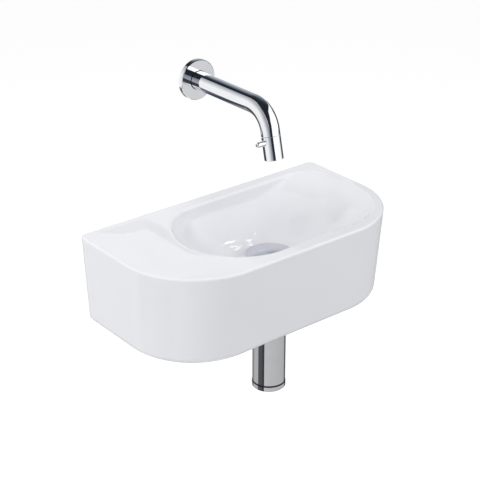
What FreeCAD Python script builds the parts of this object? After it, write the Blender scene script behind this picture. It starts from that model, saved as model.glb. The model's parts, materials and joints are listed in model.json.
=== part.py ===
import FreeCAD, Part
import Sketcher
import math
import os
from types import SimpleNamespace
from FreeCAD import Placement, Rotation, Vector

os.makedirs("parts", exist_ok=True)
doc = FreeCAD.newDocument("hand_basin")

# Driving sizes, lengths in millimetres and angles in degrees.
SIZES = {
    # Basin outside: D-shaped in plan, drawn in towards its base
    "basin_width": 360,
    "basin_depth": 194,
    "basin_height": 113,
    "back_corner": 10,
    "side_draw": 5.5,
    "front_draw": 10,
    "rim_rounding": 2.4,
    "base_rounding": 9,
    # Basin walls
    "skirt_wall": 10,
    "back_wall": 12,
    "deck_thickness": 12,
    "cavity_corner": 6,
    # Bowl, set out from the rim's width on each side
    "bowl_depth": 65,
    "shelf_width": 83.5,
    "rim_right": 10,
    "rim_front": 18,
    "rim_back": 16.5,
    "beach_corner": 36,
    "lip_rounding": 4,
    "bowl_wall": 9,
    "floor_thickness": 12,
    "shelf_drop": 3.5,
    "shelf_margin": 9,
    "shelf_back_margin": 4.5,
    "shelf_front_margin": 32,
    "shelf_overlap": 9,
    "shelf_slope": 44,
    "shelf_front_slope": 46,
    "shelf_back_slope": 26,
    "shelf_fold": 18,
    "shelf_corner": 24,
    "shelf_floor_corner": 9,
    # Wall fixing
    "bolt_drop": 78,
    "bolt_inset": 50,
    "bolt_diameter": 8,
    "bolt_thread": 7.5,
    "bolt_grip": 58,
    "bolt_tip": 8,
    "bolt_spare": 7,
    "bush_wall": 2.6,
    "bush_recess": 1,
    "bush_flange": 2,
    "washer_diameter": 24,
    "washer_thickness": 1.6,
    "nut_across_flats": 13,
    "nut_height": 6.5,
    # Push waste
    "drain_hole": 46,
    "recess_diameter": 66,
    "recess_depth": 2.5,
    "flange_diameter": 63,
    "flange_thickness": 2.5,
    "flange_gasket_thickness": 1.5,
    "waste_diameter": 41.9,
    "waste_bore": 34,
    "waste_length": 40,
    "seat_diameter": 42,
    "spider_drop": 20.5,
    "spider_height": 5,
    "spider_hub": 17,
    "spider_rib": 3.5,
    "spider_ledge": 1,
    "joint_diameter": 37.5,
    "joint_length": 18,
    "cap_diameter": 62,
    "cap_crown": 4,
    "cap_edge": 2.4,
    "cap_skirt": 4,
    "cap_web": 2.5,
    "cap_hub": 39,
    "cap_boss": 18,
    "cap_boss_length": 3,
    "cap_lift": 8,
    "cap_travel": 7.5,
    "cap_seal_thickness": 2.7,
    "plunger_diameter": 9.8,
    "plunger_drop": 23.5,
    "shank_diameter": 12.6,
    "shank_length": 21,
    "shank_floor": 2,
    "head_diameter": 19,
    "head_height": 11,
    "spring_wire": 1.1,
    "spring_diameter": 9,
    "spring_pitch": 2.7,
    "gasket_diameter": 62,
    "under_gasket_thickness": 4,
    "slip_washer_thickness": 1.5,
    "back_nut_across_flats": 52,
    "back_nut_height": 10,
    "tail_gasket_thickness": 1.5,
    "tail_diameter": 42,
    "tail_length": 122,
    "tail_spigot": 40,
    "tail_spigot_length": 4,
    "groove_height": 1.6,
    "groove_depth": 0.4,
    "outlet_diameter": 43,
    "outlet_height": 7,
    "outlet_floor": 2.8,
    "outlet_bore": 32.4,
    "outlet_seal_bore": 32,
    "edge_break": 0.5,
    # Wall tap
    "tap_offset": -7,
    "tap_height": 153.5,
    "rosette_diameter": 49,
    "rosette_thickness": 6,
    "rosette_bevel": 0.8,
    "rosette_wall": 2.5,
    "rosette_face": 4,
    "rosette_ring_wire": 1.5,
    "rosette_joint": 0.7,
    "tube_diameter": 22,
    "tube_bore": 18,
    "spout_run": 108.5,
    "bend_radius": 30,
    "bend_angle": 77,
    "spout_end": 5.8,
    "inlet_diameter": 20.95,
    "inlet_length": 9.5,
    "inlet_relief": 2,
    "inlet_relief_diameter": 18,
    "inlet_bore": 11,
    "inlet_shoulder": 3,
    "inlet_shoulder_diameter": 26,
    "inlet_spigot": 12,
    "nipple_washer_thickness": 1,
    "hex_key": 12,
    "hex_key_depth": 7,
    # Turning nozzle
    "nozzle_length": 28,
    "nozzle_seam": 0.4,
    "valve_spigot": 5.5,
    "valve_length": 14,
    "valve_bore": 9,
    "ring_wire": 1.25,
    "body_ring_rise": 2.7,
    "collar_ring_drop": 3.2,
    "retaining_wire_diameter": 1,
    "retaining_wire_drop": 10.6,
    "disc_diameter": 13.2,
    "disc_thickness": 2.5,
    "disc_seal_thickness": 1.8,
    "port_inner": 1.2,
    "port_outer": 4.4,
    "port_angle": 80,
    "carrier_length": 5.4,
    "carrier_bore": 10,
    "aerator_drop": 20,
    "aerator_thread": 18.2,
    "aerator_seal_thickness": 1.2,
    "aerator_wall": 1.4,
    "aerator_lip": 0.8,
    "aerator_recess": 0.6,
    "aerator_jet": 1.5,
    "aerator_row": 4.6,
    "lever_drop": 7,
    "lever_diameter": 6.5,
    "lever_reach": 10.5,
    "lever_tenon": 3.5,
    "lever_rounding": 1.6,
    # Clearances
    "fit_gap": 0.1,
    "running_gap": 0.1,
    "cut_overrun": 2,
}

# The front corners' share of the basin's depth, the drain's share of the bowl's width from its right and of
# its depth from its back, and the round ends' share of the bowl's depth.
FRONT_CORNER_SHARE = 0.5
DRAIN_RIGHT_SHARE = 0.52
DRAIN_BACK_SHARE = 0.49
BOWL_END_SHARE = 0.4825

# Levels of the bowl, from its mouth to its floor: the share of the depth, then the share of the reach
# to the left, right, front and back, the share of the end corners and the share of the way from the
# beach corner to the end corner.
BOWL_SHARES = (
    (0.00, 1.000, 1.000, 1.000, 1.000, 1.000, 0.00),
    (0.12, 0.985, 0.872, 0.982, 0.980, 0.980, 0.40),
    (0.28, 0.950, 0.755, 0.950, 0.945, 0.945, 0.75),
    (0.50, 0.862, 0.620, 0.862, 0.852, 0.850, 0.85),
    (0.74, 0.690, 0.495, 0.710, 0.700, 0.690, 0.82),
    (0.91, 0.490, 0.392, 0.560, 0.558, 0.545, 0.80),
    (1.00, 0.350, 0.325, 0.480, 0.485, 0.470, 0.90),
)

# Levels of the shelf's dish: shares of its drop and of the slopes that lead down to it.
SHELF_SHARES = ((0.0, 0.0), (0.16, 0.25), (0.5, 0.5), (0.84, 0.75), (1.0, 1.0))

# Places along an edge at which it is compared with the bowl's mouth.
EDGE_SHARES = (0.1, 0.5, 0.9)

SPIDER_WINDOWS = 3
DISC_PORTS = 2
AERATOR_JETS = 8
TURN = 360

dims = doc.addObject("Spreadsheet::Sheet", "Dims")
for row, (alias, value) in enumerate(SIZES.items(), start=1):
    dims.set(f"A{row}", alias)
    dims.set(f"B{row}", str(value))
    dims.setAlias(f"B{row}", alias)
doc.recompute()


class Size:
    """A size with its present number and the sheet expression that gives it."""

    def __init__(self, number, text):
        self.number = number
        self.text = text

    def __add__(self, other):
        other = as_size(other)
        return Size(self.number + other.number, f"({self.text} + {other.text})")

    def __sub__(self, other):
        other = as_size(other)
        return Size(self.number - other.number, f"({self.text} - {other.text})")

    def __mul__(self, other):
        other = as_size(other)
        return Size(self.number * other.number, f"({self.text} * {other.text})")

    def __truediv__(self, other):
        other = as_size(other)
        return Size(self.number / other.number, f"({self.text} / {other.text})")

    def __rsub__(self, other):
        return as_size(other) - self

    def __rmul__(self, other):
        return as_size(other) * self

    def __neg__(self):
        return Size(-self.number, f"(0 - {self.text})")


def as_size(value):
    return value if isinstance(value, Size) else Size(value, repr(value))


def sine(angle):
    return Size(math.sin(math.radians(angle.number)), f"sin({angle.text})")


def cosine(angle):
    return Size(math.cos(math.radians(angle.number)), f"cos({angle.text})")


d = SimpleNamespace(**{alias: Size(dims.get(alias), f"Dims.{alias}") for alias in SIZES})
ZERO = Size(0, "0")
QUARTER_TURN = Size(TURN / 4, f"{TURN / 4}")
SIXTH_TURN = Size(TURN / 6, f"{TURN / 6}")
FIT = d.fit_gap
BUSH_RADIUS = d.bolt_thread / 2 + FIT + d.bush_wall
BOLT_REACH = d.basin_width / 2 - d.bolt_inset

BOWL_WIDTH = d.basin_width - d.shelf_width - d.rim_right
BOWL_RUN = d.basin_depth - d.rim_front - d.rim_back
BOWL_RIGHT = BOWL_WIDTH * DRAIN_RIGHT_SHARE
BOWL_LEFT = BOWL_WIDTH - BOWL_RIGHT
BOWL_BACK = BOWL_RUN * DRAIN_BACK_SHARE
BOWL_FRONT = BOWL_RUN - BOWL_BACK
BOWL_END = BOWL_RUN * BOWL_END_SHARE
DRAIN_X = d.basin_width / 2 - d.rim_right - BOWL_RIGHT
DRAIN_Y = -d.rim_back - BOWL_BACK

subparts = []


def bind(item, path, size):
    item.setExpression(path, as_size(size).text)


def place(item, x=ZERO, y=ZERO, z=ZERO, lean=ZERO):
    """Stands an object at x, y, z, turned by lean about the X axis."""
    base = Vector(x.number, y.number, z.number)
    item.Placement = Placement(base, Rotation(Vector(1, 0, 0), lean.number))
    bind(item, "Placement.Base.x", x)
    bind(item, "Placement.Base.y", y)
    bind(item, "Placement.Base.z", z)
    bind(item, "Placement.Rotation.Angle", lean)


def keep(item, label):
    item.Label = label
    subparts.append(item)
    return item


def new_body(name):
    return doc.addObject("PartDesign::Body", name)


def new_sketch(body, name, role, rise=ZERO, across=ZERO):
    """A sketch on one of the body's origin planes, moved along its normal and along its own X."""
    sketch = body.newObject("Sketcher::SketchObject", name)
    plane = next(item for item in body.Origin.OriginFeatures if item.Role == role)
    sketch.AttachmentSupport = [(plane, "")]
    sketch.MapMode = "FlatFace"
    sketch.AttachmentOffset = Placement(Vector(across.number, 0, rise.number), Rotation())
    bind(sketch, "AttachmentOffset.Base.x", across)
    bind(sketch, "AttachmentOffset.Base.z", rise)
    return sketch


def limit(sketch, kind, size, *targets):
    """Adds one dimension to a sketch and ties it to the sheet."""
    index = sketch.addConstraint(Sketcher.Constraint(kind, *targets, float(size.number)))
    bind(sketch, f"Constraints[{index}]", size)


def fix_point(sketch, edge, end, x, y):
    limit(sketch, "DistanceX", x, -1, 1, edge, end)
    limit(sketch, "DistanceY", y, -1, 1, edge, end)


def outline(sketch, points):
    """Closes straight edges through points, each a pair of sizes."""
    count = len(points)
    corners = [Vector(x.number, y.number, 0) for x, y in points]
    for index in range(count):
        sketch.addGeometry(Part.LineSegment(corners[index], corners[(index + 1) % count]), False)
    for index in range(count):
        sketch.addConstraint(Sketcher.Constraint("Coincident", index, 2, (index + 1) % count, 1))
    for index, (x, y) in enumerate(points):
        fix_point(sketch, index, 1, x, y)


def round_about(x, y, radius):
    return Part.Circle(Vector(x.number, y.number, 0), Vector(0, 0, 1), radius.number)


def circle(sketch, x, y, radius):
    index = sketch.addGeometry(round_about(x, y, radius), False)
    limit(sketch, "Radius", radius, index)
    fix_point(sketch, index, 3, x, y)


def rounded_rectangle(sketch, left, right, front, back, front_right, back_right, back_left, front_left):
    """A rectangle in plan with a radius of its own at each corner; each arc starts some quarters round."""
    corners = (
        (right - front_right, front + front_right, front_right, 3),
        (right - back_right, back - back_right, back_right, 0),
        (left + back_left, back - back_left, back_left, 1),
        (left + front_left, front + front_left, front_left, 2),
    )
    arcs = []
    quarter = math.radians(TURN / 4)
    for x, y, radius, quarters in corners:
        arcs.append(Part.ArcOfCircle(round_about(x, y, radius), quarter * quarters, quarter * (quarters + 1)))
    for index, arc in enumerate(arcs):
        sketch.addGeometry(Part.LineSegment(arcs[index - 1].EndPoint, arc.StartPoint), False)
        sketch.addGeometry(arc, False)
    count = 2 * len(arcs)
    for index in range(count):
        sketch.addConstraint(Sketcher.Constraint("Tangent", index, 2, (index + 1) % count, 1))
    for edge, kind in ((0, "Horizontal"), (2, "Vertical"), (4, "Horizontal"), (6, "Vertical")):
        sketch.addConstraint(Sketcher.Constraint(kind, edge))
    for index, (_, _, radius, _) in enumerate(corners):
        limit(sketch, "Radius", radius, 2 * index + 1)
    limit(sketch, "DistanceY", front, -1, 1, 0, 1)
    limit(sketch, "DistanceX", right, -1, 1, 2, 1)
    limit(sketch, "DistanceY", back, -1, 1, 4, 1)
    limit(sketch, "DistanceX", left, -1, 1, 6, 1)


def hexagon(sketch, across_flats):
    """Six sides about the origin, with two corners on the X axis."""
    reach = across_flats / sine(SIXTH_TURN) / 2
    half = across_flats / 2
    outline(sketch, (
        (reach, ZERO),
        (reach / 2, half),
        (-reach / 2, half),
        (-reach, ZERO),
        (-reach / 2, -half),
        (reach / 2, -half),
    ))


def spin(body, name, sketch, kind="PartDesign::Revolution"):
    """Turns a sketch about its own vertical axis."""
    feature = body.newObject(kind, name)
    feature.Profile = sketch
    feature.ReferenceAxis = (sketch, ["V_Axis"])
    feature.Angle = TURN
    return feature


def revolve(body, name, points):
    """Turns a profile of radius and height pairs about the body's Z axis."""
    sketch = new_sketch(body, f"{name}_profile", "XZ_Plane")
    outline(sketch, points)
    return spin(body, name, sketch)


def extrude(body, name, sketch, length, kind="PartDesign::Pad", reverse=False):
    feature = body.newObject(kind, name)
    feature.Profile = sketch
    feature.Reversed = reverse
    bind(feature, "Length", length)
    return feature


def loft(body, name, sketches, kind, ruled=False):
    feature = body.newObject(kind, name)
    feature.Profile = sketches[0]
    feature.Sections = sketches[1:]
    feature.Ruled = ruled
    return feature


def repeat(body, name, feature, count):
    """Copies a feature round the body's Z axis."""
    pattern = body.newObject("PartDesign::PolarPattern", name)
    pattern.Originals = [feature]
    pattern.Axis = (next(item for item in body.Origin.OriginFeatures if item.Role == "Z_Axis"), [""])
    pattern.Angle = TURN
    pattern.Occurrences = count
    body.Tip = pattern
    return pattern


def round_edges(body, name, kind, size, chosen):
    """Rounds or bevels the edges of the body's tip that the test chosen picks."""
    doc.recompute()
    base = body.Tip
    names = [f"Edge{index}" for index, edge in enumerate(base.Shape.Edges, start=1) if chosen(edge)]
    feature = body.newObject(kind, name)
    feature.Base = (base, names)
    bind(feature, "Radius" if kind.endswith("Fillet") else "Size", size)
    return feature


def at_level(level):
    """A test for edges that lie flat at one height."""
    low = level.number - FIT.number
    high = level.number + FIT.number
    return lambda edge: edge.BoundBox.ZMin > low and edge.BoundBox.ZMax < high


def turned(label, points, **where):
    """A sub-part made by one revolve."""
    body = new_body(label)
    revolve(body, f"{label}_turn", points)
    place(body, **where)
    return keep(body, label)


def washer(label, inner, outer, low, high, **where):
    return turned(label, ((inner, low), (outer, low), (outer, high), (inner, high)), **where)


def ring(label, radius, wire, **where):
    """A sealing ring or wire ring of round section."""
    body = doc.addObject("Part::Torus", label)
    bind(body, "Radius1", radius)
    bind(body, "Radius2", wire)
    place(body, **where)
    return keep(body, label)


def on_both_sides(label, body):
    """One sub-part of two solids: the body and its mirror image about the basin's middle."""
    mirrored = doc.addObject("Part::Mirroring", f"{label}_mirrored")
    mirrored.Source = body
    mirrored.Normal = Vector(1, 0, 0)
    pair = doc.addObject("Part::Compound", label)
    pair.Links = [body, mirrored]
    return keep(pair, label)


def bowl_section(body, name, shares, grow=ZERO, level=None):
    """One level of the bowl, grown outwards on all sides."""
    depth, left, right, front, back, corner, blend = shares
    end = BOWL_END * corner + grow
    beach = d.beach_corner * (1 - blend) + BOWL_END * corner * blend + grow
    sketch = new_sketch(body, name, "XY_Plane", -d.bowl_depth * depth if level is None else level)
    rounded_rectangle(
        sketch,
        left=DRAIN_X - BOWL_LEFT * left - grow,
        right=DRAIN_X + BOWL_RIGHT * right + grow,
        front=DRAIN_Y - BOWL_FRONT * front - grow,
        back=DRAIN_Y + BOWL_BACK * back + grow,
        front_right=end,
        back_right=beach,
        back_left=end,
        front_left=end,
    )
    return sketch


def make_basin():
    body = new_body("basin")
    base_level = -d.basin_height
    half = d.basin_width / 2
    corner = d.basin_depth * FRONT_CORNER_SHARE

    rim = new_sketch(body, "rim_outline", "XY_Plane")
    rounded_rectangle(rim, -half, half, -d.basin_depth, ZERO, corner, d.back_corner, d.back_corner, corner)
    base = new_sketch(body, "base_outline", "XY_Plane", base_level)
    base_half = half - d.side_draw
    base_front = d.front_draw - d.basin_depth
    base_corner = corner - (d.front_draw + d.side_draw) / 2
    rounded_rectangle(
        base, -base_half, base_half, base_front, ZERO, base_corner, d.back_corner, d.back_corner, base_corner)
    loft(body, "outer_walls", [rim, base], "PartDesign::AdditiveLoft", ruled=True)
    round_edges(body, "base_edge", "PartDesign::Fillet", d.base_rounding, at_level(base_level))
    round_edges(body, "rim_edge", "PartDesign::Fillet", d.rim_rounding, at_level(ZERO))

    # Hollow underside, open below, following the walls
    inner_half = half - d.skirt_wall
    inner_front = d.skirt_wall - d.basin_depth
    inner_corner = corner - d.skirt_wall
    roof = new_sketch(body, "cavity_roof", "XY_Plane", -d.deck_thickness)
    rounded_rectangle(
        roof, -inner_half, inner_half, inner_front, -d.back_wall,
        inner_corner, d.cavity_corner, d.cavity_corner, inner_corner)
    mouth = new_sketch(body, "cavity_mouth", "XY_Plane", base_level)
    mouth_half = inner_half - d.side_draw
    mouth_corner = base_corner - d.skirt_wall
    rounded_rectangle(
        mouth, -mouth_half, mouth_half, inner_front + d.front_draw, -d.back_wall,
        mouth_corner, d.cavity_corner, d.cavity_corner, mouth_corner)
    loft(body, "cavity", [roof, mouth], "PartDesign::SubtractiveLoft", ruled=True)

    # Bowl wall hanging in the cavity, with a flat seat below the drain
    floor_level = -(d.bowl_depth + d.floor_thickness)
    drop = d.floor_thickness - d.cut_overrun
    skin = []
    for index, shares in enumerate(BOWL_SHARES):
        depth = shares[0]
        level = -d.cut_overrun - d.bowl_depth * depth - drop * depth
        skin.append(bowl_section(body, f"bowl_wall_{index}", shares, d.bowl_wall, level))
    loft(body, "bowl_wall", skin, "PartDesign::AdditiveLoft")

    # Shelf on the left: a shallow dish that falls towards the bowl's end and folds up to the back ledge
    dish = []
    for index, (drop_share, slope_share) in enumerate(SHELF_SHARES):
        sketch = new_sketch(body, f"shelf_{index}", "XY_Plane", -d.shelf_drop * drop_share)
        turn = d.shelf_corner + (d.shelf_floor_corner - d.shelf_corner) * slope_share
        rounded_rectangle(
            sketch,
            left=d.shelf_margin - half + d.shelf_slope * slope_share,
            right=d.shelf_width - half + d.shelf_overlap - d.shelf_fold * slope_share,
            front=d.shelf_front_margin - d.basin_depth + d.shelf_front_slope * slope_share,
            back=-d.shelf_back_margin - d.shelf_back_slope * slope_share,
            front_right=turn,
            back_right=d.shelf_floor_corner,
            back_left=d.shelf_floor_corner,
            front_left=turn,
        )
        dish.append(sketch)
    loft(body, "shelf", dish, "PartDesign::SubtractiveLoft")

    # Bowl with a rounded lip
    levels = [bowl_section(body, f"bowl_{index}", shares) for index, shares in enumerate(BOWL_SHARES)]
    loft(body, "bowl", levels, "PartDesign::SubtractiveLoft")
    doc.recompute()
    brim = levels[0].Shape

    def on_lip(edge):
        """Tells whether an edge runs along the bowl's mouth."""
        first, last = edge.ParameterRange
        points = [edge.valueAt(first + (last - first) * share) for share in EDGE_SHARES]
        above = [Part.Vertex(point.x, point.y, 0) for point in points]
        return all(
            point.z > -2 * d.shelf_drop.number and brim.distToShape(spot)[0] < d.lip_rounding.number
            for point, spot in zip(points, above))

    round_edges(body, "lip", "PartDesign::Fillet", d.lip_rounding, on_lip)

    # Drain hole with a recess for the waste's flange
    drain = new_sketch(body, "drain_profile", "XZ_Plane", -DRAIN_Y, DRAIN_X)
    recess_level = -d.bowl_depth - d.recess_depth
    outline(drain, (
        (ZERO, floor_level - d.cut_overrun),
        (d.drain_hole / 2, floor_level - d.cut_overrun),
        (d.drain_hole / 2, recess_level),
        (d.recess_diameter / 2, recess_level),
        (d.recess_diameter / 2, d.cut_overrun - d.bowl_depth),
        (ZERO, d.cut_overrun - d.bowl_depth),
    ))
    spin(body, "drain", drain, "PartDesign::Groove")

    # Holes for the wall bolts
    holes = new_sketch(body, "bolt_holes", "XZ_Plane", -d.cut_overrun)
    for side in (-1, 1):
        circle(holes, BOLT_REACH * side, -d.bolt_drop, BUSH_RADIUS + FIT)
    extrude(body, "bolt_hole_cut", holes, d.back_wall + d.cut_overrun * 2, "PartDesign::Pocket", reverse=True)
    place(body, z=d.bolt_drop)
    return keep(body, "basin")


def make_wall_fixing():
    """Hanger bolts, bushes, washers and nuts: each turned about local Z, which points out of the wall."""
    bush_end = d.back_wall + d.bush_flange
    washer_end = bush_end + d.washer_thickness
    nut_end = washer_end + d.nut_height
    wall_radius = d.bolt_diameter / 2
    bolt_radius = d.bolt_thread / 2
    hole = bolt_radius + FIT
    where = {"x": BOLT_REACH, "lean": QUARTER_TURN}

    bolt = new_body("hanger_bolt")
    revolve(bolt, "hanger_bolt_turn", (
        (ZERO, -d.bolt_grip - d.bolt_tip),
        (wall_radius, -d.bolt_grip),
        (wall_radius, ZERO),
        (bolt_radius, ZERO),
        (bolt_radius, nut_end + d.bolt_spare - d.edge_break),
        (bolt_radius - d.edge_break, nut_end + d.bolt_spare),
        (ZERO, nut_end + d.bolt_spare),
    ))
    bush = new_body("bolt_bush")
    revolve(bush, "bolt_bush_turn", (
        (hole, d.bush_recess),
        (BUSH_RADIUS, d.bush_recess),
        (BUSH_RADIUS, d.back_wall),
        (d.washer_diameter / 2, d.back_wall),
        (d.washer_diameter / 2, bush_end),
        (hole, bush_end),
    ))
    plain_washer = new_body("bolt_washer")
    revolve(plain_washer, "bolt_washer_turn", (
        (hole, bush_end),
        (d.washer_diameter / 2, bush_end),
        (d.washer_diameter / 2, washer_end),
        (hole, washer_end),
    ))
    nut = new_body("bolt_nut")
    sides = new_sketch(nut, "bolt_nut_sides", "XY_Plane", washer_end)
    hexagon(sides, d.nut_across_flats)
    circle(sides, ZERO, ZERO, hole)
    extrude(nut, "bolt_nut_pad", sides, d.nut_height)
    for body in (bolt, bush, plain_washer, nut):
        place(body, **where)
    on_both_sides("hanger_bolts", bolt)
    on_both_sides("bolt_bushes", bush)
    on_both_sides("bolt_washers", plain_washer)
    on_both_sides("bolt_nuts", nut)


def make_waste():
    """Push waste, turned about the drain's axis; local zero is the bowl's floor."""
    where = {"x": DRAIN_X, "y": DRAIN_Y, "z": d.bolt_drop - d.bowl_depth}
    flange_low = d.flange_gasket_thickness - d.recess_depth
    flange_top = flange_low + d.flange_thickness
    waste_radius = d.waste_diameter / 2
    bore = d.waste_bore / 2
    seat = d.seat_diameter / 2
    seat_low = flange_top - (seat - bore)
    shoulder = flange_low - d.waste_length
    joint = d.joint_diameter / 2
    spider_top = -d.spider_drop
    spider_low = spider_top - d.spider_height
    shank = d.shank_diameter / 2

    body = new_body("waste_body")
    revolve(body, "waste_turn", (
        (seat, flange_top),
        (d.flange_diameter / 2 - d.edge_break, flange_top),
        (d.flange_diameter / 2, flange_top - d.edge_break),
        (d.flange_diameter / 2, flange_low),
        (waste_radius, flange_low),
        (waste_radius, shoulder),
        (joint, shoulder),
        (joint, shoulder - d.joint_length),
        (bore, shoulder - d.joint_length),
        (bore, spider_low),
        (shank + FIT, spider_low),
        (shank + FIT, spider_top),
        (bore, spider_top),
        (bore, seat_low),
    ))
    window = new_sketch(body, "spider_window", "XY_Plane", spider_top)
    hub = d.spider_hub / 2
    ledge = bore - d.spider_ledge
    rib = d.spider_rib / 2
    middle = SIXTH_TURN / 2

    def beside_rib(reach, side):
        """A corner of the window where it meets a rib."""
        across = reach * sine(SIXTH_TURN) - rib * cosine(SIXTH_TURN)
        return reach * cosine(SIXTH_TURN) + rib * sine(SIXTH_TURN), across * side

    outline(window, (
        beside_rib(ledge, -1),
        (ledge * cosine(middle), -ledge * sine(middle)),
        (ledge, ZERO),
        (ledge * cosine(middle), ledge * sine(middle)),
        beside_rib(ledge, 1),
        beside_rib(hub, 1),
        (hub, ZERO),
        beside_rib(hub, -1),
    ))
    cut = extrude(body, "spider_cut", window, d.spider_height + d.cut_overrun, "PartDesign::Pocket")
    repeat(body, "spider", cut, SPIDER_WINDOWS)
    place(body, **where)
    keep(body, "waste_body")

    washer("flange_gasket", waste_radius + FIT, d.flange_diameter / 2, -d.recess_depth, flange_low, **where)
    under = -d.floor_thickness
    gasket_low = under - d.under_gasket_thickness
    washer("under_gasket", waste_radius + FIT, d.gasket_diameter / 2, gasket_low, under, **where)
    slip_low = gasket_low - d.slip_washer_thickness
    washer("slip_washer", waste_radius + FIT, d.gasket_diameter / 2, slip_low, gasket_low, **where)

    nut = new_body("back_nut")
    sides = new_sketch(nut, "back_nut_sides", "XY_Plane", slip_low)
    hexagon(sides, d.back_nut_across_flats)
    circle(sides, ZERO, ZERO, waste_radius + FIT)
    extrude(nut, "back_nut_pad", sides, d.back_nut_height, reverse=True)
    place(nut, **where)
    keep(nut, "back_nut")

    # Cap, its seal and plunger, which move together
    cap_low = flange_top + d.cap_lift
    cap = d.cap_diameter / 2
    shoulder_top = cap_low + d.cap_edge
    web_low = shoulder_top - d.cap_web + d.cap_crown / 2
    hub_low = cap_low - d.edge_break
    boss_low = hub_low - d.cap_boss_length
    pin = d.plunger_diameter / 2
    body = new_body("plug_cap")
    profile = new_sketch(body, "plug_cap_profile", "XZ_Plane")
    crowned_outline(profile, (
        (ZERO, shoulder_top + d.cap_crown),
        (cap - d.edge_break, shoulder_top),
        (cap, shoulder_top - d.edge_break),
        (cap, cap_low),
        (cap - d.cap_skirt, cap_low),
        (cap - d.cap_skirt, web_low),
        (d.cap_hub / 2, web_low),
        (d.cap_hub / 2, hub_low),
        (d.cap_boss / 2, hub_low),
        (d.cap_boss / 2, boss_low),
        (pin + FIT, boss_low),
        (pin + FIT, web_low),
        (ZERO, web_low),
    ))
    spin(body, "plug_cap_turn", profile)
    place(body, **where)
    keep(body, "plug_cap")

    seal_low = hub_low - d.cap_seal_thickness
    seat_gap = d.cap_lift - d.cap_travel
    seal_top_radius = seat + (hub_low - d.cap_travel - flange_top) - seat_gap
    turned("cap_seal", (
        (d.cap_boss / 2 + FIT, seal_low),
        (seal_top_radius - d.cap_seal_thickness, seal_low),
        (seal_top_radius, hub_low),
        (d.cap_boss / 2 + FIT, hub_low),
    ), **where)
    plunger_low = -d.plunger_drop
    turned("plunger", (
        (ZERO, plunger_low),
        (pin - d.edge_break, plunger_low),
        (pin, plunger_low + d.edge_break),
        (pin, web_low - FIT),
        (ZERO, web_low - FIT),
    ), **where)

    # Click cartridge, screwed into the spider, with the spring that lifts the plunger
    shank_low = spider_top - d.shank_length
    spring_seat = shank_low + d.shank_floor
    head_top = spider_top + d.head_height
    turned("click_cartridge", (
        (ZERO, shank_low),
        (shank, shank_low),
        (shank, spider_top),
        (d.head_diameter / 2, spider_top),
        (d.head_diameter / 2, head_top - d.edge_break),
        (d.head_diameter / 2 - d.edge_break, head_top),
        (pin + FIT, head_top),
        (pin + FIT, spring_seat),
        (ZERO, spring_seat),
    ), **where)
    spring = new_body("click_spring")
    wire = d.spring_wire / 2
    coil = d.spring_diameter / 2 - wire
    section = new_sketch(spring, "spring_wire_section", "XZ_Plane")
    circle(section, coil, spring_seat + wire + FIT, wire)
    helix = spring.newObject("PartDesign::AdditiveHelix", "spring_turns")
    helix.Profile = section
    helix.ReferenceAxis = (section, ["V_Axis"])
    helix.Mode = "pitch-height-angle"
    bind(helix, "Pitch", d.spring_pitch)
    bind(helix, "Height", plunger_low - spring_seat - d.spring_wire - FIT * 2)
    place(spring, **where)
    keep(spring, "click_spring")

    # Tail below the basin
    tail_top = shoulder - d.tail_gasket_thickness
    tail_low = tail_top - d.tail_length
    spigot = d.tail_spigot / 2
    spigot_low = tail_low - d.tail_spigot_length
    tail = d.tail_diameter / 2
    washer("tail_gasket", joint + FIT, waste_radius, tail_top, shoulder, **where)
    turned("tail_tube", (
        (joint + FIT, tail_top),
        (tail, tail_top),
        (tail, tail_low),
        (spigot, tail_low),
        (spigot, spigot_low),
        (joint + FIT, spigot_low),
    ), **where)
    nut_top = tail_low - d.groove_height
    nut_low = nut_top - d.outlet_height
    outlet = d.outlet_diameter / 2
    floor_top = nut_low + d.outlet_floor
    washer("groove_ring", spigot + FIT, tail - d.groove_depth, nut_top, tail_low, **where)
    turned("outlet_nut", (
        (d.outlet_bore / 2, nut_low),
        (outlet - d.edge_break, nut_low),
        (outlet, nut_low + d.edge_break),
        (outlet, nut_top - d.edge_break),
        (outlet - d.edge_break, nut_top),
        (spigot + FIT, nut_top),
        (spigot + FIT, floor_top),
        (d.outlet_bore / 2, floor_top),
    ), **where)
    washer("outlet_seal", d.outlet_seal_bore / 2, spigot, floor_top, spigot_low, **where)


def crowned_outline(sketch, points):
    """A closed outline whose first edge is an arc that leaves the axis level and ends at the second point."""
    (_, top), (reach, shoulder) = points[0], points[1]
    rise = top - shoulder
    radius = (reach * reach + rise * rise) / (rise * 2)
    sweep = math.asin(reach.number / radius.number)
    quarter = math.radians(TURN / 4)
    crown = round_about(ZERO, top - radius, radius)
    sketch.addGeometry(Part.ArcOfCircle(crown, quarter - sweep, quarter), False)
    count = len(points)
    corners = [Vector(x.number, y.number, 0) for x, y in points]
    for index in range(1, count):
        sketch.addGeometry(Part.LineSegment(corners[index], corners[(index + 1) % count]), False)
    sketch.addConstraint(Sketcher.Constraint("Coincident", 0, 1, 1, 1))
    for index in range(1, count - 1):
        sketch.addConstraint(Sketcher.Constraint("Coincident", index, 2, index + 1, 1))
    sketch.addConstraint(Sketcher.Constraint("Coincident", count - 1, 2, 0, 2))
    fix_point(sketch, 0, 2, *points[0])
    for index in range(1, count):
        fix_point(sketch, index, 1, *points[index])
    limit(sketch, "Radius", radius, 0)


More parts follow.
